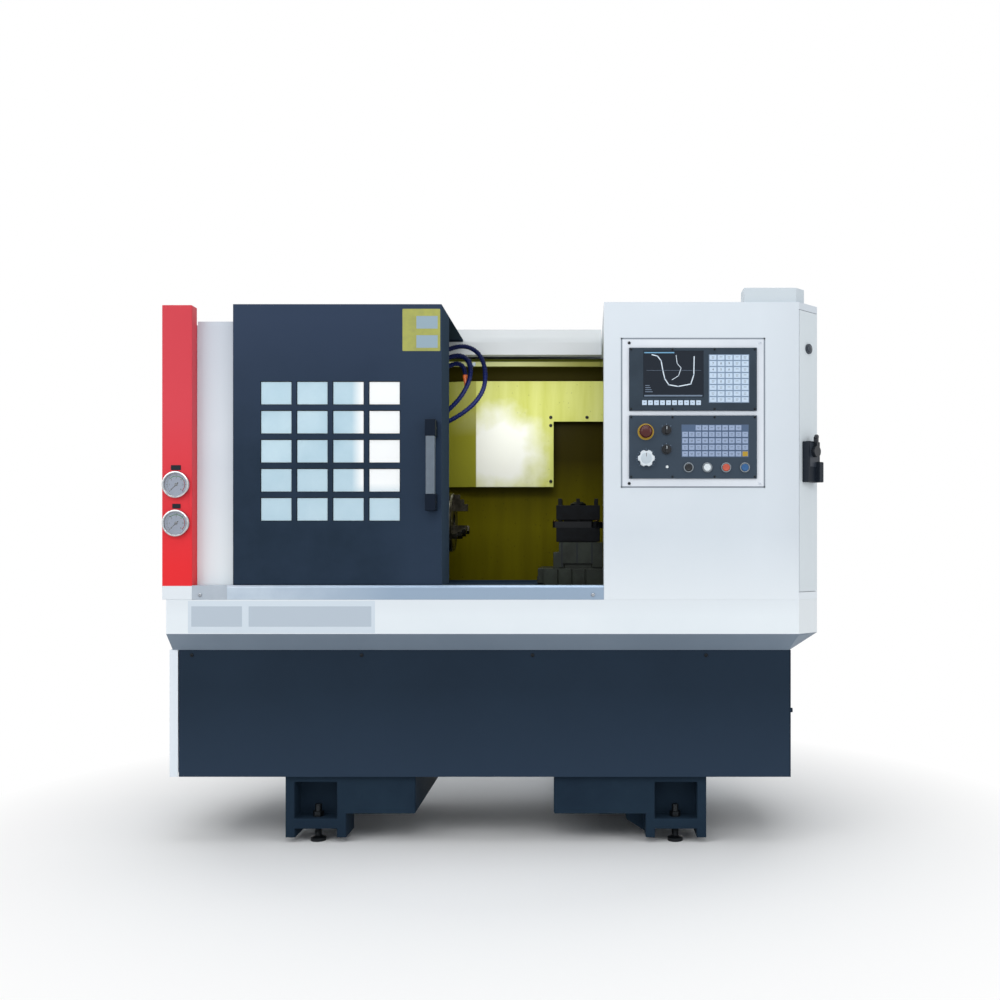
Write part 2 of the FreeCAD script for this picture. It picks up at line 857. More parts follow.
def headstock_cover():
    """The white cover over the headstock, with its own roof, and a round hole for the spindle."""
    def plan(inset, back):
        column_right = f"column_left + column_width + seat_gap + {inset}"
        notch = f"front + column_depth + seat_gap + {inset}"
        return [(column_right, f"front + cover_face + {inset}"),
                (f"headstock_cover_right - {inset}", f"front + cover_face + {inset}"),
                (f"headstock_cover_right - {inset}", back), (f"machine_left + {inset}", back),
                (f"machine_left + {inset}", notch), (column_right, notch)]

    back = "front + enclosure_depth - wall"
    outside = prism("cover_outside", "XY_Plane", plan("0", back + " - seat_gap"),
                    "sill_bottom", "hood_top - cover_drop - sill_bottom")
    inside = prism("cover_inside", "XY_Plane", plan("wall", back), "sill_bottom",
                   "hood_top - cover_drop - wall - sill_bottom")
    bed_hole = box("cover_bed_hole", "headstock_cover_right - 2 * wall",
                   "front + bed_front - bed_gap", "sill_bottom", "3 * wall",
                   "bed_back - bed_front + 2 * bed_gap", "ways_top - sill_bottom + bed_gap")
    nose_hole = rod("cover_nose_hole", "headstock_cover_right - 2 * wall",
                    "front + spindle_depth", "spindle_height", "spindle_hole", "3 * wall", ALONG_X)
    node("headstock_cover", cut("cover", outside, inside, bed_hole, nose_hole))


GAUGE_LEVELS = {"chuck_gauge": "upper_gauge", "tailstock_gauge": "upper_gauge - gauge_spacing"}


def gauge_column():
    """The red corner column, open behind, with a shallow crown and holes for two gauges."""
    shaft = box("column_shaft", "column_left", "front", "sill_bottom",
                "column_width", "column_depth", "hood_top - cover_drop - sill_bottom")
    crown = box("column_crown", "column_left", "front", "sill_bottom",
                "column_width", "crown_depth", "hood_top - column_drop - sill_bottom")
    inside = box("column_inside", "column_left + wall", "front + wall", "sill_bottom",
                 "column_width - 2 * wall", "column_depth",
                 "hood_top - cover_drop - wall - sill_bottom")
    crown_inside = box("crown_inside", "column_left + wall", "front + wall", "sill_bottom",
                       "column_width - 2 * wall", "crown_depth - 2 * wall",
                       "hood_top - column_drop - wall - sill_bottom")
    holes = [rod(f"{name}_hole", "gauge_left", "front + wall", level,
                 "gauge_barrel + gauge_play", "wall", TO_OPERATOR)
             for name, level in GAUGE_LEVELS.items()]
    column = fuse("column_whole", shaft, crown)
    node("gauge_column", cut("column", column, inside, crown_inside, *holes))


def pressure_gauges():
    """Two Bourdon gauges: a barrel through the column, a rim and a sunk dial, and a needle each."""
    cases = []
    for name, level in GAUGE_LEVELS.items():
        cases.append(turned(name + "_case", [
            ("0", "-1 * gauge_depth"), ("gauge_barrel", "-1 * gauge_depth"), ("gauge_barrel", "0"),
            ("gauge_radius", "0"), ("gauge_radius", "gauge_height - wall / 2"),
            ("gauge_radius - wall / 2", "gauge_height"),
            ("gauge_radius - gauge_bezel", "gauge_height"),
            ("gauge_radius - gauge_bezel", "gauge_dial"), ("0", "gauge_dial")],
            "gauge_left", "front", level, TO_OPERATOR))
    node("pressure_gauges", loose("gauges", *cases))
    for name, level in GAUGE_LEVELS.items():
        label = name + "_needle"
        face = "front - gauge_dial - seat_gap"
        hub = rod(label + "_hub", "gauge_left", face, level, "needle_hub",
                  "needle_thickness", TO_OPERATOR)
        arm = prism(label + "_arm", "XY_Plane", [
            ("-1 * needle_tail", "-1 * needle_width / 2"), ("needle_length", "0"),
            ("-1 * needle_tail", "needle_width / 2")], "0", "needle_thickness")
        rest = TO_OPERATOR * FreeCAD.Rotation(FreeCAD.Vector(0, 0, 1), 225)
        place(arm, "gauge_left", face, level, rest)
        node(label, fuse(label + "_shape", hub, arm))


def rear_guard():
    """One folded back sheet whose top is a beam, with a ledge for the door's roof to glide on."""
    face, sloped = "front + beam_face", "front + beam_face + beam_slope"
    back = "front + enclosure_depth"
    beam = prism("guard_beam", "YZ_Plane", [
        (sloped, "hood_top - cover_drop"), (face, "hood_top - knee_drop"),
        (sloped, "hood_top + beam_rise"), (back, "hood_top + beam_rise"),
        (back, "sill_bottom"), (back + " - wall", "sill_bottom"),
        (back + " - wall", "hood_top + beam_rise - wall"),
        (sloped + " + wall", "hood_top + beam_rise - wall"),
        (face + " + wall", "hood_top - knee_drop"), (sloped + " + wall", "hood_top - cover_drop")],
        "machine_left", "cabinet_left - seat_gap - machine_left")
    low_sheet = box("guard_sheet", "cabinet_left - 2 * seat_gap", back + " - wall", "sill_bottom",
                    "partition_left - cabinet_left - wall", "wall",
                    "hood_top - cover_drop - wall - seat_gap - sill_bottom")
    ledge = box("roof_ledge", "machine_left", face + " - ledge_reach", "hood_top - cover_drop + seat_gap",
                "cabinet_left - seat_gap - machine_left", "ledge_reach + wall + beam_slope / 2",
                "cover_drop - seat_gap - ledge_drop")
    slots = [box(f"guard_slot_{row}_{column}",
                 f"guard_vent_left + {column} * slot_length + {column} * slot_pitch",
                 back + " - wall", f"guard_vent_bottom + {row} * slot_pitch",
                 "slot_length", "wall", "slot_height")
             for row in range(counted("slot_count")) for column in range(2)]
    whole = fuse("guard_whole", beam, low_sheet, ledge)
    node("rear_guard", cut("guard", whole, *slots))


# The side door's hinge line: clear of the sheet's face, over the middle of the gap.
HINGE_X = "machine_right + knuckle_radius + seat_gap"
HINGE_Y = "front + enclosure_depth - opening_rim - door_gap / 2"


def right_cabinet():
    """The console cabinet: a bevelled shell with a console box in front of the chamber's end."""
    back = "front + enclosure_depth"
    outside = prism("cabinet_outside", "XY_Plane", [
        ("cabinet_left", "front"), ("bevel_left", "front"),
        ("machine_right", "front + bevel_depth"), ("machine_right", back), ("cabinet_left", back)],
        "sill_bottom", "hood_top + cabinet_rise - sill_bottom")
    inside = prism("cabinet_inside", "XY_Plane", [
        ("cabinet_left + wall", "front + wall"),
        ("bevel_left - bevel_inset * wall", "front + wall"),
        ("machine_right - wall", "front + bevel_depth + bevel_inset * wall"),
        ("machine_right - wall", back + " - wall"), ("partition_left + wall", back + " - wall"),
        ("partition_left + wall", "front + console_depth - wall"),
        ("cabinet_left + wall", "front + console_depth - wall")],
        "sill_bottom", "hood_top + cabinet_rise - wall - sill_bottom")
    chamber = box("chamber_end", "cabinet_left", "front + console_depth", "sill_bottom",
                  "partition_left - cabinet_left", "enclosure_depth - console_depth",
                  "hood_top - cover_drop - wall - sill_bottom")
    loft_space = box("roof_space", "cabinet_left + wall", "front + console_depth - 2 * wall",
                     "hood_top - cover_drop", "partition_left - cabinet_left",
                     "enclosure_depth - console_depth + wall",
                     "cabinet_rise + cover_drop - wall")
    door_gap = prism("door_opening", "XY_Plane", [
        ("bevel_left", "front"), ("machine_right", "front"),
        ("machine_right", "front + enclosure_depth - opening_rim"),
        ("machine_right - 2 * wall", "front + enclosure_depth - opening_rim"),
        ("machine_right - 2 * wall", "front + bevel_depth"),
        ("bevel_left - 2 * wall", "front + 2 * wall"), ("bevel_left", "front + wall")],
        "door_opening_bottom", "hood_top - opening_drop - door_opening_bottom")
    panel = box("panel_opening", "panel_opening_left", "front", "panel_opening_bottom",
                "panel_opening_width", "wall", "panel_opening_height")
    shell = cut("cabinet_shell", outside, inside, chamber, loft_space, door_gap, panel)
    pins = []
    for level in ("lower_hinge", "upper_hinge"):
        pins.append(rod(level + "_pin", HINGE_X, HINGE_Y, level,
                        "pin_radius", "2 * knuckle_length"))
        pins.append(rod(level + "_knuckle", HINGE_X, HINGE_Y, level,
                        "knuckle_radius", "knuckle_length - seat_gap"))
        pins.append(box(level + "_leaf", "machine_right", HINGE_Y, level,
                        "leaf_thickness", "leaf_length", "knuckle_length - seat_gap"))
    node("right_cabinet", fuse("cabinet", shell, *pins))


def fan_box():
    """The bevelled cooling-fan box on the cabinet's roof, with slots in its rear face."""
    left, right = "fan_box_left", "fan_box_right"
    near, far = "front + fan_box_front", "front + fan_box_front + fan_box_depth"
    outside = prism("fan_outside", "XY_Plane", [
        (left, near), (right + " - fan_box_bevel", near), (right, near + " + fan_box_bevel"),
        (right, far), (left, far)], "hood_top + cabinet_rise", "fan_box_height")
    inside = prism("fan_inside", "XY_Plane", [
        (left + " + wall", near + " + wall"),
        (right + " - fan_box_bevel - bevel_inset * wall", near + " + wall"),
        (right + " - wall", near + " + fan_box_bevel + bevel_inset * wall"),
        (right + " - wall", far + " - wall"), (left + " + wall", far + " - wall")],
        "hood_top + cabinet_rise", "fan_box_height - wall")
    slots = [box(f"fan_slot_{step}", f"{left} + 2 * wall + {step} * fan_slot_pitch",
                 far + " - wall", "hood_top + cabinet_rise + 4 * wall", "fan_slot_pitch - slot_height",
                 "wall", "slot_height")
             for step in range(counted("fan_slot_count"))]
    node("fan_box", cut("fan", outside, inside, *slots))


def cabinet_door():
    """The side door, folded along the bevel, with two hinge knuckles at its rear edge."""
    step = "bevel_inset * wall"
    sheet_metal = prism("door_leaf", "XY_Plane", [
        ("bevel_left + door_lap", "front + door_lap"), ("machine_right", "front + bevel_depth"),
        ("machine_right", "front + enclosure_depth - opening_rim - door_gap"),
        ("machine_right - wall", "front + enclosure_depth - opening_rim - door_gap"),
        ("machine_right - wall", f"front + bevel_depth + {step}"),
        ("bevel_left + door_lap - diagonal * wall", "front + door_lap + diagonal * wall")],
        "door_opening_bottom + door_gap",
        "hood_top - opening_drop - door_opening_bottom - 2 * door_gap")
    pieces, holes = [sheet_metal], []
    for level in ("lower_hinge", "upper_hinge"):
        base = f"{level} + knuckle_length"
        pieces.append(rod(level + "_door_knuckle", HINGE_X, HINGE_Y, base,
                          "knuckle_radius", "knuckle_length"))
        pieces.append(box(level + "_door_leaf", "machine_right",
                          HINGE_Y + " - leaf_length", base, "leaf_thickness",
                          "leaf_length", "knuckle_length"))
        holes.append(rod(level + "_bore", HINGE_X, HINGE_Y, level,
                         "pin_radius + pin_play", "3 * knuckle_length"))
    lock_x, lock_y, lock_z = off_bevel("-2 * wall", "lock_height")
    holes.append(rod("lock_hole", lock_x, lock_y, lock_z, "lock_stem + pin_play", "4 * wall",
                     OFF_BEVEL))
    node("cabinet_door", cut("side_door", fuse("side_door_whole", *pieces), *holes))


def chamber_lining():
    """The painted lining of the working space: two ends, a back and a drip lip at the top."""
    left, right = "headstock_cover_right + seat_gap", "partition_left - seat_gap"
    back = "front + enclosure_depth - lining_gap"
    sheet_metal = prism("lining_sheet", "XY_Plane", [
        (left, "front + lining_front"), (left + " + wall", "front + lining_front"),
        (left + " + wall", back + " - wall"), (right + " - wall", back + " - wall"),
        (right + " - wall", "front + console_depth + seat_gap"),
        (right, "front + console_depth + seat_gap"), (right, back), (left, back)],
        "lining_bottom", "hood_top - lining_drop - lining_bottom")
    lip = box("lining_lip", left, "front + lip_front", "hood_top - lining_drop - lip_height",
              "partition_left - headstock_cover_right - 2 * seat_gap", "wall",
              "lip_height")
    lip_shelf = box("lip_shelf", left, "front + lip_front", "hood_top - lining_drop - wall",
                    "partition_left - headstock_cover_right - 2 * seat_gap",
                    "enclosure_depth - lining_gap - lip_front", "wall")
    bed_hole = box("lining_bed_hole", left, "front + bed_front - bed_gap", "lining_bottom",
                   "partition_left - headstock_cover_right",
                   "bed_back - bed_front + 2 * bed_gap", "ways_top - lining_bottom + bed_gap")
    nose_hole = rod("lining_nose_hole", left, "front + spindle_depth", "spindle_height",
                    "spindle_hole", "wall", ALONG_X)
    whole = fuse("lining_whole", sheet_metal, lip, lip_shelf)
    node("chamber_lining", cut("lining", whole, bed_hole, nose_hole))


def splash_plate():
    """The bright stepped splash plate in front of the lining, folded back at its left end."""
    face = "front + enclosure_depth - lining_gap - plate_step_depth"
    back = "front + enclosure_depth - lining_gap - wall - seat_gap"
    right = "partition_left - wall - 2 * seat_gap"
    left = "headstock_cover_right + wall + 2 * seat_gap"
    sheet_metal = prism("plate_sheet", "XY_Plane", [
        (left, back + " - wall"), ("plate_fold", face), (right, face), (right, back),
        (right + " - wall", back), (right + " - wall", face + " + wall"),
        ("plate_fold", face + " + wall"), (left, back)],
        "plate_bottom", "plate_top - plate_bottom")
    step = box("plate_notch", "plate_step_left", face, "plate_bottom",
               "partition_left - plate_step_left", "plate_step_depth",
               "plate_step - plate_bottom")
    node("splash_plate", cut("plate", sheet_metal, step))


headstock_cover()
gauge_column()
pressure_gauges()
rear_guard()
right_cabinet()
fan_box()
cabinet_door()
chamber_lining()
splash_plate()


# ---- Operator panel with its display, keys and switches ----

MODULE_FACE = "front - panel_proud - module_proud"


def on_face(name, corners, x, z):
    """A turned piece that stands on the modules' face and points at the operator."""
    return turned(name, corners, x, MODULE_FACE, z, TO_OPERATOR)


def module_hole(name, bottom, height):
    """The opening in the panel that a module's body passes through."""
    return box(name, "module_left + module_inset - seat_gap", "front - panel_proud",
               f"{bottom} + module_inset - seat_gap",
               "module_width - 2 * module_inset + 2 * seat_gap", "module_body",
               f"{height} - 2 * module_inset + 2 * seat_gap")


def operator_panel():
    """The white aluminium panel, flanged behind the cabinet's sheet, with two openings."""
    plate = box("panel_plate", "panel_opening_left + panel_margin", "front - panel_proud",
                "panel_opening_bottom + panel_margin", "panel_opening_width - 2 * panel_margin",
                "panel_proud + 2 * wall + seat_gap", "panel_opening_height - 2 * panel_margin")
    flange = box("panel_flange_sheet", "panel_opening_left - panel_flange",
                 "front + wall + seat_gap", "panel_opening_bottom - panel_flange",
                 "panel_opening_width + 2 * panel_flange", "wall",
                 "panel_opening_height + 2 * panel_flange")
    whole = fuse("panel_whole", plate, flange)
    node("operator_panel", cut("panel_shape", whole,
                               module_hole("display_hole", "display_bottom", "display_height"),
                               module_hole("controls_hole", "controls_bottom", "controls_height")))


def module_blank(name, bottom, height):
    """A module's black face plate with the boxed body behind it."""
    face = box(name + "_face", "module_left", MODULE_FACE, bottom,
               "module_width", "module_proud", height)
    body = box(name + "_body", "module_left + module_inset", "front - panel_proud",
               f"{bottom} + module_inset", "module_width - 2 * module_inset", "module_body",
               f"{height} - 2 * module_inset")
    return fuse(name + "_blank", face, body)


def display_module():
    """The upper module: a black face with a sunk screen behind flat glass."""
    recess = box("screen_recess_box", "screen_left", MODULE_FACE, "screen_bottom",
                 "screen_width", "screen_recess", "screen_height")
    blank = module_blank("display", "display_bottom", "display_height")
    node("display_module", cut("display", blank, recess))
    screen = box("screen", "screen_left + seat_gap",
                 MODULE_FACE + " + screen_recess - screen_thickness", "screen_bottom + seat_gap",
                 "screen_width - 2 * seat_gap", "screen_thickness",
                 "screen_height - 2 * seat_gap")
    node("display_screen", screen)


def membrane_keys():
    """The raised membrane keys: a row below the screen, a block beside it and the keypad."""
    keys = []

    def key(row, column, left, pitch, width, bottom, rise, height):
        keys.append(box(f"key_{len(keys)}", f"{left} + {column} * {pitch}",
                        MODULE_FACE + " - key_height", f"{bottom} + {row} * {rise}",
                        width, "key_height", height))

    for column in range(counted("softkey_count")):
        key(0, column, "softkey_left", "softkey_pitch", "softkey_width",
            "softkey_bottom", "letter_rise", "softkey_height")
    for row in range(counted("letter_rows")):
        for column in range(counted("letter_count")):
            key(row, column, "letter_left", "letter_pitch", "letter_width",
                "letter_bottom", "letter_rise", "letter_height")
    top_row = counted("keypad_rows") - 1
    for row in range(counted("keypad_rows")):
        for column in range(counted("keypad_count")):
            if row < top_row or 1 < column < counted("keypad_count") - 1:
                key(row, column, "keypad_left", "keypad_pitch", "keypad_width",
                    "keypad_bottom", "keypad_rise", "keypad_height")
    node("membrane_keys", loose("keys", *keys))


def button_places():
    """The four round push buttons from left to right."""
    for step, colour in enumerate(("black", "white", "red", "blue")):
        yield f"{colour}_button", f"button_left + {step} * button_pitch"


def ring(name, x, z, outer, inner):
    """A flat bezel ring that stands on the module's face."""
    return on_face(name, [(inner, "0"), (outer, "0"), (outer, "bezel_height"),
                          (inner, "bezel_height")], x, z)


SELECTOR_LEVELS = {"upper_selector": "upper_selector",
                   "lower_selector": "upper_selector - selector_spacing"}


def control_module():
    """The lower module, bored for the buttons, the selectors and the override knob."""
    bores = []
    rings = []
    running = "button_radius + button_play"
    for name, x in button_places():
        bores.append((name, x, "button_bottom", running))
        rings.append(ring(name + "_ring", x, "button_bottom", "bezel_radius", running))
    for label, level in SELECTOR_LEVELS.items():
        bores.append((label, "selector_left", level, "selector_radius + button_play"))
        rings.append(ring(label + "_ring", "selector_left", level, "bezel_radius",
                          "selector_radius + button_play"))
    bores.append(("stop", "stop_left", "stop_bottom", "stop_stem + button_play"))
    rings.append(ring("stop_ring_piece", "stop_left", "stop_bottom", "stop_ring",
                      "stop_stem + button_play"))
    bores.append(("override", "override_left", "override_bottom", "stop_stem + button_play"))
    holes = [rod(name + "_bore", x, MODULE_FACE + " + button_depth", z, radius,
                 "button_depth", TO_OPERATOR) for name, x, z, radius in bores]
    blank = module_blank("controls", "controls_bottom", "controls_height")
    node("control_module", cut("controls", blank, *holes))
    node("button_bezels", loose("bezels", *rings))


def push_buttons():
    """Four spring-return plungers with chamfered caps, and the mushroom-headed stop button."""
    inner = "button_travel + seat_gap - button_depth"
    for name, x in button_places():
        node(name, on_face(name + "_plunger", [
            ("0", inner), ("button_radius", inner), ("button_radius", "button_height - cap_chamfer"),
            ("button_radius - cap_chamfer", "button_height"), ("0", "button_height")], x, "button_bottom"))
    node("e_stop_button", on_face("stop_mushroom", [
        ("0", inner), ("stop_stem", inner), ("stop_stem", "stop_gap"), ("stop_radius", "stop_gap"),
        ("stop_radius", "2 * stop_gap"), ("stop_radius - wall", "stop_height - wall / 2"),
        ("stop_stem", "stop_height"), ("0", "stop_height")], "stop_left", "stop_bottom"))


def selectors():
    """Two rotary selectors with bar grips, and the lobed override knob on its shaft."""
    for label, level in SELECTOR_LEVELS.items():
        base = on_face(label + "_base", [
            ("0", "seat_gap - button_depth"), ("selector_radius", "seat_gap - button_depth"),
            ("selector_radius", "selector_height"), ("0", "selector_height")],
            "selector_left", level)
        grip = box(label + "_grip", "selector_left - grip_width / 2",
                   MODULE_FACE + " - grip_height", f"{level} - selector_radius + cap_chamfer",
                   "grip_width", "grip_height", "2 * selector_radius - 2 * cap_chamfer")
        node(label, fuse(label + "_shape", base, grip))
    blank = on_face("override_blank", [
        ("0", "seat_gap - button_depth"), ("stop_stem", "seat_gap - button_depth"),
        ("stop_stem", "seat_gap"), ("override_radius", "seat_gap"),
        ("override_radius", "override_height - knob_chamfer"),
        ("override_radius - knob_chamfer", "override_height"),
        ("0", "override_height")], "override_left", "override_bottom")
    scallops = []
    for lobe in range(counted("override_lobes")):
        angle = math.radians(360 * (lobe + 0.5) / counted("override_lobes"))
        scallops.append(rod(
            f"scallop_{lobe}",
            f"override_left + {math.cos(angle):.4f} * override_radius"
            f" + {math.cos(angle):.4f} * override_scallop / 2",
            MODULE_FACE + " - seat_gap",
            f"override_bottom + {math.sin(angle):.4f} * override_radius"
            f" + {math.sin(angle):.4f} * override_scallop / 2",
            "override_scallop", "override_height", TO_OPERATOR))
    node("override_knob", cut("override", blank, *scallops))


def bevel_switches():
    """The main switch with its lever, and the cam lock, both on the side door's bevel."""
    def plate(name, left, right, low, high, out, thickness, level):
        piece = prism(name, "XY_Plane", [(left, low), (right, low), (right, high), (left, high)],
                      out, thickness)
        return place(piece, *off_bevel("0", level), OFF_BEVEL)

    level, half = "switch_height", "switch_width / 2"
    body = plate("switch_body", "-1 * " + half, half, "-1 * switch_tall / 2", "switch_tall / 2",
                 "0", "switch_proud", level)
    bump = plate("switch_bump_block", "switch_width / 6", half, "-1 * switch_tall / 2", "0",
                 "0", "switch_bump", level)
    node("switch_housing", fuse("switch", body, bump))
    hub_x, hub_y, hub_z = off_bevel("switch_proud + seat_gap", "switch_height + switch_tall / 4")
    hub = rod("switch_hub", hub_x, hub_y, hub_z, "switch_hub_radius", "switch_hub_height",
              OFF_BEVEL)
    lever = prism("switch_lever", "XY_Plane", [
        ("-1 * lever_width / 2", "0"), ("lever_width / 2", "0"),
        ("lever_width / 2", "lever_length"), ("-1 * lever_width / 2", "lever_length")],
        "0", "switch_hub_height")
    place(lever, hub_x, hub_y, hub_z, OFF_BEVEL)
    ball = turned("lever_ball_piece", [
        ("0", "-1 * lever_ball"), ("lever_ball / 2", "-1 * lever_ball"),
        ("lever_ball", "-1 * lever_ball / 2"), ("lever_ball", "lever_ball / 2"),
        ("lever_ball / 2", "lever_ball"), ("0", "lever_ball")],
        *off_bevel("switch_proud + 2 * seat_gap + lever_ball", hub_z + " + lever_length"))
    node("switch_handle", fuse("lever", hub, lever, ball))
    cap = rod("lock_cap", *off_bevel("seat_gap", "lock_height"), "lock_radius", "lock_proud",
              OFF_BEVEL)
    stem = rod("lock_stem_piece", *off_bevel("-1 * lock_stem_length", "lock_height"), "lock_stem",
               "lock_stem_length + lock_proud", OFF_BEVEL)
    cam = plate("lock_cam", "-1 * cam_length", "cam_width / 2", "-1 * cam_width / 2",
                "cam_width / 2", "-1 * lock_stem_length", "cam_thickness", "lock_height")
    node("cabinet_lock", fuse("lock", cap, stem, cam))


operator_panel()
display_module()
membrane_keys()
control_module()
push_buttons()
selectors()
bevel_switches()


# ---- Sliding door ----

def sliding_door():
    """The dark door: a window grid, returned edges, a side wall and a roof that reaches back."""
    near = "front + door_face"
    bottom = "sill_top + glide_gap"
    height = "hood_top - sill_top - glide_gap"
    leaf = box("door_leaf_block", "door_left", near, bottom, "door_width", "door_thickness", height)
    hollow = box("door_leaf_hollow", "door_left + wall", near + " + wall", bottom + " + wall",
                 "door_width - 2 * wall", "door_thickness", "hood_top - sill_top - glide_gap - 2 * wall")
    panes = [box(f"pane_{row}_{column}", f"pane_left + {column} * pane_pitch", near,
                 f"pane_bottom + {row} * pane_rise", "pane_width", "wall", "pane_height")
             for row in range(counted("pane_rows")) for column in range(counted("pane_columns"))]
    folded = cut("door_folded", leaf, hollow, *panes)
    right = "door_left + door_width - wall"
    side = box("door_side", right, near, bottom, "wall", "door_side_depth", height)
    roof = box("door_roof", "door_left", near, "hood_top - wall", "door_width",
               "beam_face - roof_gap - door_face", "wall")
    flange_y = "front + beam_face - roof_gap - wall"
    flange = box("roof_flange_sheet", "door_left", flange_y, "hood_top - roof_flange",
                 "door_width", "wall", "roof_flange")
    glides = [box(f"roof_glide_{end}", left, flange_y + " - glide_depth",
                  "hood_top - ledge_drop + glide_gap", "glide_width", "glide_depth + wall",
                  "ledge_drop - wall - glide_gap")
              for end, left in (("left", "door_left + glide_width"),
                                ("right", "door_left + door_width - 2 * glide_width"))]
    node("sliding_door", fuse("door", folded, side, roof, flange, *glides))


def door_window():
    """One sheet of polycarbonate behind the whole grid."""
    glass = box("glass", "pane_left - glass_margin", "front + door_face + wall",
                "pane_bottom - glass_margin",
                "pane_width + pane_columns * pane_pitch - pane_pitch + 2 * glass_margin",
                "glass_thickness",
                "pane_height + pane_rows * pane_rise - pane_rise + 2 * glass_margin")
    node("door_window", glass)


def door_handle():
    """Two black end blocks screwed to the door, and the grey bar between them."""
    reach = "front + door_face - handle_reach"
    blocks = [box(f"handle_block_{end}", "handle_left", reach, bottom,
                  "handle_width", "handle_reach", "mount_tall")
              for end, bottom in (("low", "handle_bottom"),
                                  ("high", "handle_bottom + handle_tall - mount_tall"))]
    node("door_handle_mounts", loose("handle_blocks", *blocks))
    bar = box("handle_bar", "handle_left + grip_inset", reach, "handle_bottom + mount_tall",
              "handle_width - 2 * grip_inset", "grip_depth", "handle_tall - 2 * mount_tall")
    rounded = doc.addObject("Part::Fillet", "handle_rounded")
    rounded.Base = bar
    doc.recompute()
    upright = [index for index, edge in enumerate(bar.Shape.Edges, start=1)
               if abs(edge.tangentAt(edge.FirstParameter).z) > 0.9]
    radius = number("grip_round")
    rounded.Edges = [(index, radius, radius) for index in upright]
    node("door_handle_grip", rounded)


sliding_door()
door_window()
door_handle()


# ---- Spindle line: headstock, spindle, chuck, motor and belt ----

SPINDLE_Y = "front + spindle_depth"


def headstock_casting():
    """The headstock: a chamfered casting bored for the spindle, with a round front bearing cap."""
    near, far = "front + headstock_front", "front + headstock_back"
    block = prism("headstock_block", "YZ_Plane", [
        (near, "ways_top"), (far, "ways_top"), (far, "headstock_top - headstock_chamfer"),
        (far + " - headstock_chamfer", "headstock_top"),
        (near + " + headstock_chamfer", "headstock_top"),
        (near, "headstock_top - headstock_chamfer")],
        "headstock_left", "headstock_right - headstock_left")
    cap = rod("bearing_cap", "headstock_right", SPINDLE_Y, "spindle_height",
              "cap_radius", "cap_length", ALONG_X)
    bore = rod("spindle_bore_tool", "headstock_left", SPINDLE_Y, "spindle_height",
               "spindle_radius + spindle_play",
               "headstock_right + cap_length - headstock_left", ALONG_X)
    cavity = rod("headstock_cavity_tool", "headstock_left + headstock_wall", SPINDLE_Y,
                 "spindle_height", "headstock_cavity",
                 "headstock_right - headstock_left - 2 * headstock_wall", ALONG_X)
    node("headstock_casting", cut("headstock", fuse("headstock_whole", block, cap), bore, cavity))


def spindle():
    """The hollow spindle, turned with its rear belt pulley and its chuck flange."""
    nose_back = "spindle_nose - nose_length"
    pulley_front = "pulley_rear + pulley_width"
    node("spindle", turned("spindle_turning_body", [
        ("spindle_bore", "spindle_rear"), ("spindle_radius", "spindle_rear"),
        ("spindle_radius", "pulley_rear"), ("pulley_radius", "pulley_rear"),
        ("pulley_radius", pulley_front), ("spindle_radius", pulley_front),
        ("spindle_radius", nose_back), ("nose_radius", nose_back),
        ("nose_radius", "spindle_nose"), ("spindle_bore", "spindle_nose")],
        "0", SPINDLE_Y, "spindle_height", ALONG_X))


def chuck():
    """The three-jaw power chuck, and the stepped jaws that slide in its radial slots."""
    body = turned("chuck_turning", [
        ("chuck_bore", "spindle_nose"), ("chuck_radius", "spindle_nose"),
        ("chuck_radius", "spindle_nose + chuck_length - chuck_chamfer"),
        ("chuck_radius - chuck_chamfer", "spindle_nose + chuck_length"),
        ("chuck_bore", "spindle_nose + chuck_length")],
        "0", SPINDLE_Y, "spindle_height", ALONG_X)

    def radial(name, corners, play, angle):
        piece = prism(name, "XZ_Plane", corners, f"-1 * jaw_width / 2 - {play}",
                      f"jaw_width + 2 * {play}")
        turn = FreeCAD.Rotation(FreeCAD.Vector(1, 0, 0), angle)
        return place(piece, "spindle_nose + chuck_length", SPINDLE_Y, "spindle_height", turn)

    slots = []
    for label, angle in (("a", 0), ("b", 120), ("c", 240)):
        root = "-1 * jaw_root - jaw_play"
        slots.append(radial(f"jaw_slot_{label}", [
            (root, "jaw_inner - jaw_play"), ("jaw_play", "jaw_inner - jaw_play"),
            ("jaw_play", "chuck_radius"), (root, "chuck_radius")],
            "jaw_play", angle))
        heights = ["-1 * jaw_root", "jaw_rise", "jaw_rise + jaw_tread",
                   "jaw_rise + 2 * jaw_tread"]
        node(f"chuck_jaw_{label}", radial(f"jaw_{label}", [
            (heights[0], "jaw_inner"), (heights[0], "jaw_outer"), (heights[1], "jaw_outer"),
            (heights[1], "jaw_outer - jaw_step"), (heights[2], "jaw_outer - jaw_step"),
            (heights[2], "jaw_outer - 2 * jaw_step"), (heights[3], "jaw_outer - 2 * jaw_step"),
            (heights[3], "jaw_inner")], "0", angle))
    node("chuck_body", cut("chuck", body, *slots))


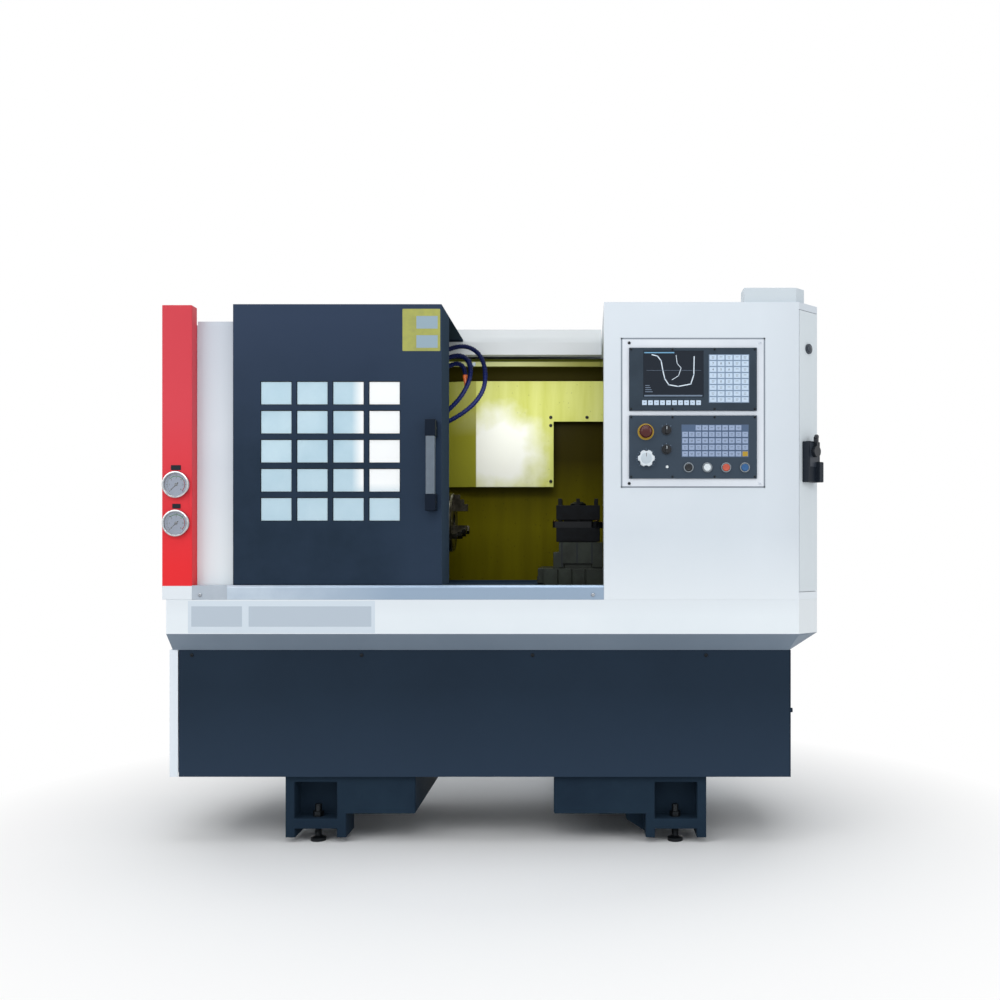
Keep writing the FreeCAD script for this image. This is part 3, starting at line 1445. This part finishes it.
def spindle_motor():
    """The finned motor on the headstock's roof, and its pulley on a shaft of its own."""
    end = "motor_left + motor_length"
    corners = [("0", "motor_left"), ("motor_radius", "motor_left")]
    for fin in range(counted("fin_count")):
        base = f"motor_left + fin_pitch + {fin} * fin_pitch"
        corners += [("motor_radius", base), ("motor_radius - fin_depth", base),
                    ("motor_radius - fin_depth", base + " + fin_width"),
                    ("motor_radius", base + " + fin_width")]
    corners += [("motor_radius", end), ("0", end)]
    drum = turned("motor_drum", corners, "0", "front + motor_depth", "motor_height", ALONG_X)
    foot = box("motor_foot", end + " - motor_foot_width - fin_width",
               "front + motor_depth - motor_foot_depth / 2", "headstock_top",
               "motor_foot_width", "motor_foot_depth", "motor_foot_top - headstock_top")
    bore = rod("motor_bore", "motor_left", "front + motor_depth", "motor_height",
               "motor_shaft + spindle_play", "motor_bore_depth", ALONG_X)
    node("spindle_motor", cut("motor", fuse("motor_whole", drum, foot), bore))
    front_face = "pulley_rear + pulley_width"
    shaft_end = "motor_left + motor_bore_depth - wall"
    node("motor_pulley", turned("motor_pulley_turning", [
        ("0", "pulley_rear"), ("motor_pulley_radius", "pulley_rear"),
        ("motor_pulley_radius", front_face), ("motor_shaft", front_face),
        ("motor_shaft", shaft_end), ("0", shaft_end)],
        "0", "front + motor_depth", "motor_height", ALONG_X))


def belt_loop(wide, narrow, lower, upper):
    """The closed wire that wraps a wide circle at lower and a narrow one at upper."""
    reach = upper.sub(lower)
    tilt = math.atan2(reach.z, reach.y)
    spread = math.acos((wide - narrow) / reach.Length)

    def on_rim(centre, radius, angle):
        return centre.add(FreeCAD.Vector(0, radius * math.cos(angle), radius * math.sin(angle)))

    first, last = tilt + spread, tilt - spread
    wide_arc = Part.Arc(on_rim(lower, wide, first), on_rim(lower, wide, tilt + math.pi),
                        on_rim(lower, wide, last))
    narrow_arc = Part.Arc(on_rim(upper, narrow, last), on_rim(upper, narrow, tilt),
                          on_rim(upper, narrow, first))
    sides = [Part.LineSegment(on_rim(lower, wide, last), on_rim(upper, narrow, last)),
             Part.LineSegment(on_rim(upper, narrow, first), on_rim(lower, wide, first))]
    edges = [wide_arc.toShape(), sides[0].toShape(), narrow_arc.toShape(), sides[1].toShape()]
    return Part.Wire(edges)


def drive_belt():
    """The flat belt that wraps the spindle's pulley and the motor's, clear of both by a gap."""
    start = number("pulley_rear + belt_margin")
    lower = FreeCAD.Vector(start, number(SPINDLE_Y), number("spindle_height"))
    upper = FreeCAD.Vector(start, number("front + motor_depth"), number("motor_height"))
    gap, thickness = number("seat_gap"), number("belt_thickness")
    wide, narrow = number("pulley_radius"), number("motor_pulley_radius")
    outer = belt_loop(wide + gap + thickness, narrow + gap + thickness, lower, upper)
    inner = belt_loop(wide + gap, narrow + gap, lower, upper)
    width = FreeCAD.Vector(number("pulley_width - 2 * belt_margin"), 0, 0)
    belt = doc.addObject("Part::Feature", "belt")
    belt.Shape = Part.Face(outer).extrude(width).cut(Part.Face(inner).extrude(width))
    node("drive_belt", belt)


headstock_casting()
spindle()
chuck()
spindle_motor()
drive_belt()


# ---- Carriage, cross slide, tool post and tailstock ----

def carriage_saddle():
    """The saddle: a plate across both ways, a guide on top, and a grooved apron at the front."""
    plate = box("saddle_plate", "saddle_left", "front + saddle_front", "ways_top + seat_gap",
                "saddle_width", "saddle_back - saddle_front", "saddle_top - ways_top - seat_gap")
    guide = box("saddle_guide", "slide_left + slide_width / 2 - guide_width / 2",
                "front + saddle_front", "saddle_top", "guide_width",
                "saddle_back - saddle_front", "guide_height")
    apron_y = "front + bed_front - seat_gap - apron_depth"
    apron = box("saddle_apron", "apron_left", apron_y, "apron_bottom", "apron_width",
                "apron_depth", "saddle_top - apron_bottom")
    bridge = box("saddle_bridge", "apron_left", apron_y, "ways_top + seat_gap", "apron_width",
                 "apron_depth + saddle_front - bed_front + 2 * seat_gap",
                 "saddle_top - ways_top - seat_gap")
    grooves = [box(f"apron_groove_{step}",
                   f"apron_left + apron_groove_pitch + {step} * apron_groove_pitch", apron_y,
                   "apron_bottom", "apron_groove", "apron_groove", "saddle_top - apron_bottom")
               for step in range(counted("apron_groove_count"))]
    whole = fuse("saddle_whole", plate, guide, apron, bridge)
    node("carriage_saddle", cut("saddle", whole, *grooves))


def cross_slide():
    """The cross slide, grooved below for the saddle's guide, with the tool post's riser on top."""
    block = box("slide_block", "slide_left", "front + slide_front", "saddle_top + seat_gap",
                "slide_width", "slide_length", "slide_top - saddle_top - seat_gap")
    groove = box("slide_groove", "slide_left + slide_width / 2 - guide_width / 2 - seat_gap",
                 "front + slide_front", "saddle_top", "guide_width + 2 * seat_gap",
                 "slide_length", "guide_height + seat_gap")
    riser = box("post_riser", "post_x - riser_half", "front + post_depth - riser_half",
                "slide_top", "2 * riser_half", "2 * riser_half", "post_bottom - slide_top")
    node("cross_slide", cut("cross_slide_shape", fuse("slide_whole", block, riser), groove))


def tool_post():
    """The four-way tool post: a slotted block with square clamp bolts, and four turning tools."""
    centre_y = "front + post_depth"

    low, high = "post_bottom + seat_gap", "spindle_height - tool_size"
    base = box("post_base", "post_x - post_half", centre_y + " - post_half", low,
               "2 * post_half", "2 * post_half", "spindle_height - tool_size - post_bottom - seat_gap")
    core = box("post_core", "post_x - post_half + tool_slot_depth",
               centre_y + " - post_half + tool_slot_depth", high,
               "2 * post_half - 2 * tool_slot_depth", "2 * post_half - 2 * tool_slot_depth",
               "tool_size + tool_slot_room")
    head = box("post_head", "post_x - post_half", centre_y + " - post_half",
               "spindle_height + tool_slot_room", "2 * post_half", "2 * post_half",
               "post_top - spindle_height - tool_slot_room")
    cap = turned("post_cap", [
        ("0", "0"), ("post_lever_radius", "0"), ("post_lever_radius", "post_cap_height / 2"),
        ("post_lever_radius / 2", "post_cap_height"), ("0", "post_cap_height")],
        "post_x", centre_y, "post_top")
    pieces = [base, core, head, cap]
    offsets = [(x, y) for x in (-1, 0, 1) for y in (-1, 0, 1) if x or y]
    for index, (x, y) in enumerate(offsets):
        pieces.append(box(
            f"clamp_bolt_{index}",
            f"post_x + {x} * post_half - {x} * clamp_bolt_inset - clamp_bolt_radius",
            f"{centre_y} + {y} * post_half - {y} * clamp_bolt_inset - clamp_bolt_radius",
            "spindle_height", "2 * clamp_bolt_radius", "2 * clamp_bolt_radius",
            "post_top + clamp_bolt_top - spindle_height"))
    node("tool_post", fuse("post", *pieces))
    side, tip = "tool_seat - post_half", "post_half + tool_reach"
    tools = []
    for quarter in range(4):
        bar = prism(f"tool_{quarter}", "XY_Plane", [
            (side, "tool_tail"), (side + " + tool_size", "tool_tail"),
            (side + " + tool_size", tip + " - tool_size / 2"), (side + " + tool_size / 2", tip),
            (side, tip + " - tool_size / 3")], "0", "tool_size")
        turn = FreeCAD.Rotation(FreeCAD.Vector(0, 0, 1), 90 * quarter)
        tools.append(place(bar, "post_x", centre_y, high, turn))
    node("turning_tools", loose("tools", *tools))


def tailstock():
    """The tailstock: a foot on the ways, a tapered body round the barrel, and its sliding quill."""
    width = "bed_right - tail_left"
    foot = box("tail_foot", "tail_left", "front + bed_front + front_way_margin", "ways_top", width,
               "bed_back - bed_front - front_way_margin - rear_way_margin",
               "tail_foot_top - ways_top")
    body = prism("tail_body", "YZ_Plane", [
        (SPINDLE_Y + " - tail_half_foot", "tail_foot_top"),
        (SPINDLE_Y + " + tail_half_foot", "tail_foot_top"),
        (SPINDLE_Y + " + tail_half_top", "tail_top"),
        (SPINDLE_Y + " - tail_half_top", "tail_top")], "tail_left", width)
    barrel = rod("tail_barrel", "tail_left", SPINDLE_Y, "spindle_height", "tail_barrel_radius",
                 width, ALONG_X)
    bore = rod("quill_bore", "tail_left", SPINDLE_Y, "spindle_height",
               "quill_radius + spindle_play", "quill_front + quill_length - tail_left + wall",
               ALONG_X)
    node("tailstock_body", cut("tail", fuse("tail_whole", foot, body, barrel), bore))
    node("tailstock_quill", turned("quill", [
        ("0", "quill_front - centre_tip"), ("centre_radius", "quill_front - centre_step"),
        ("centre_radius", "quill_front"),
        ("quill_radius", "quill_front"), ("quill_radius", "quill_front + quill_length"),
        ("0", "quill_front + quill_length")], "0", SPINDLE_Y, "spindle_height", ALONG_X))


carriage_saddle()
cross_slide()
tool_post()
tailstock()


# ---- Coolant manifold, hoses and nozzles ----

# Each hose's route from its outlet to its nozzle, as the photograph shows it, in millimetres.
HOSE_ROUTES = {
    "long": [(-252.7, -144, 1545), (-213, -143, 1562), (-172, -142, 1581), (-128, -141, 1586),
             (-90, -140, 1566), (-69, -139, 1529), (-63, -138, 1484), (-70, -138, 1438),
             (-96, -140, 1396), (-134, -143, 1362), (-176, -146, 1336), (-214, -148, 1318)],
    "middle": [(-252.7, -118, 1520), (-216, -119, 1538), (-178, -121, 1556), (-141, -122, 1557),
               (-117, -123, 1530), (-115, -124, 1492), (-126, -125, 1455), (-145, -125, 1421),
               (-170, -124, 1391), (-198, -122, 1365)],
    "short": [(-252.7, -92, 1495), (-222, -95, 1510), (-192, -99, 1526), (-161, -102, 1535),
              (-137, -104, 1519), (-136, -105, 1491)],
}


def hose_path(points):
    """A hose's centreline: straight runs joined by tangent arcs, and the arcs' radii."""
    points = [FreeCAD.Vector(*point) for point in points]
    edges, radii = [], []
    start = points[0]
    for before, corner, after in zip(points, points[1:], points[2:]):
        arriving, leaving = corner.sub(before), after.sub(corner)
        turn = arriving.getAngle(leaving)
        trim = 0.45 * min(arriving.Length, leaving.Length)
        radii.append(trim / math.tan(turn / 2))
        arriving.normalize()
        leaving.normalize()
        first = corner.sub(arriving * trim)
        last = corner.add(leaving * trim)
        centre_line = leaving.sub(arriving).normalize()
        middle = corner.add(centre_line * (radii[-1] * (1 / math.cos(turn / 2) - 1)))
        edges.append(Part.LineSegment(start, first).toShape())
        edges.append(Part.Arc(first, middle, last).toShape())
        start = last
    edges.append(Part.LineSegment(start, points[-1]).toShape())
    return Part.Wire(edges), radii


def coolant_hoses():
    """The manifold on the chamber's end wall, its three hoses and their tapered nozzles."""
    manifold = [box("manifold_block", "manifold_left", "front + manifold_depth",
                    "manifold_bottom", "manifold_width", "manifold_length", "manifold_height")]
    nozzles = []
    for name, route in HOSE_ROUTES.items():
        wire, radii = hose_path(route)
        start, end = FreeCAD.Vector(*route[0]), FreeCAD.Vector(*route[-1])
        heading = FreeCAD.Vector(*route[1]).sub(start)
        profile = Part.Wire(Part.makeCircle(number("hose_radius"), start, heading))
        tube = doc.addObject("Part::Feature", f"{name}_tube")
        tube.Shape = wire.makePipeShell([profile], True, False)
        bends = ", ".join(f"{radius:.0f}" for radius in radii)
        section = math.pi * number("hose_radius") ** 2 * wire.Length
        print(f"{name} hose: {wire.Length:.0f} mm, bend radii {bends}, "
              f"volume over section times length {tube.Shape.Volume / section:.4f}")
        node(f"coolant_hose_{name}", tube)
        outlet = doc.addObject("Part::Feature", f"{name}_outlet")
        outlet.Shape = Part.makeCone(number("nozzle_radius"), number("outlet_radius"),
                                     number("outlet_length"), start, heading * -1)
        manifold.append(outlet)
        pointing = end.sub(FreeCAD.Vector(*route[-2]))
        nozzle = doc.addObject("Part::Feature", f"{name}_nozzle")
        nozzle.Shape = Part.makeCone(number("nozzle_radius"), number("nozzle_tip"),
                                     number("nozzle_length"), end, pointing)
        nozzles.append(nozzle)
    node("coolant_fittings", loose("fittings", fuse("manifold", *manifold), *nozzles))


coolant_hoses()


# ---- Check every object, then write one file for each node ----

doc.recompute()
for item in doc.Objects:
    if "Invalid" in item.State or "Error" in item.State:
        raise RuntimeError(f"{item.Name} failed: {item.State}")
for piece in nodes:
    if piece.Shape.isNull() or not piece.Shape.isValid() or not piece.Shape.Solids:
        raise RuntimeError(f"{piece.Label} has no valid solid")
os.makedirs("parts", exist_ok=True)
for piece in nodes:
    piece.Shape.exportStep(os.path.join("parts", piece.Label + ".step"))
print(f"{len(nodes)} nodes written")
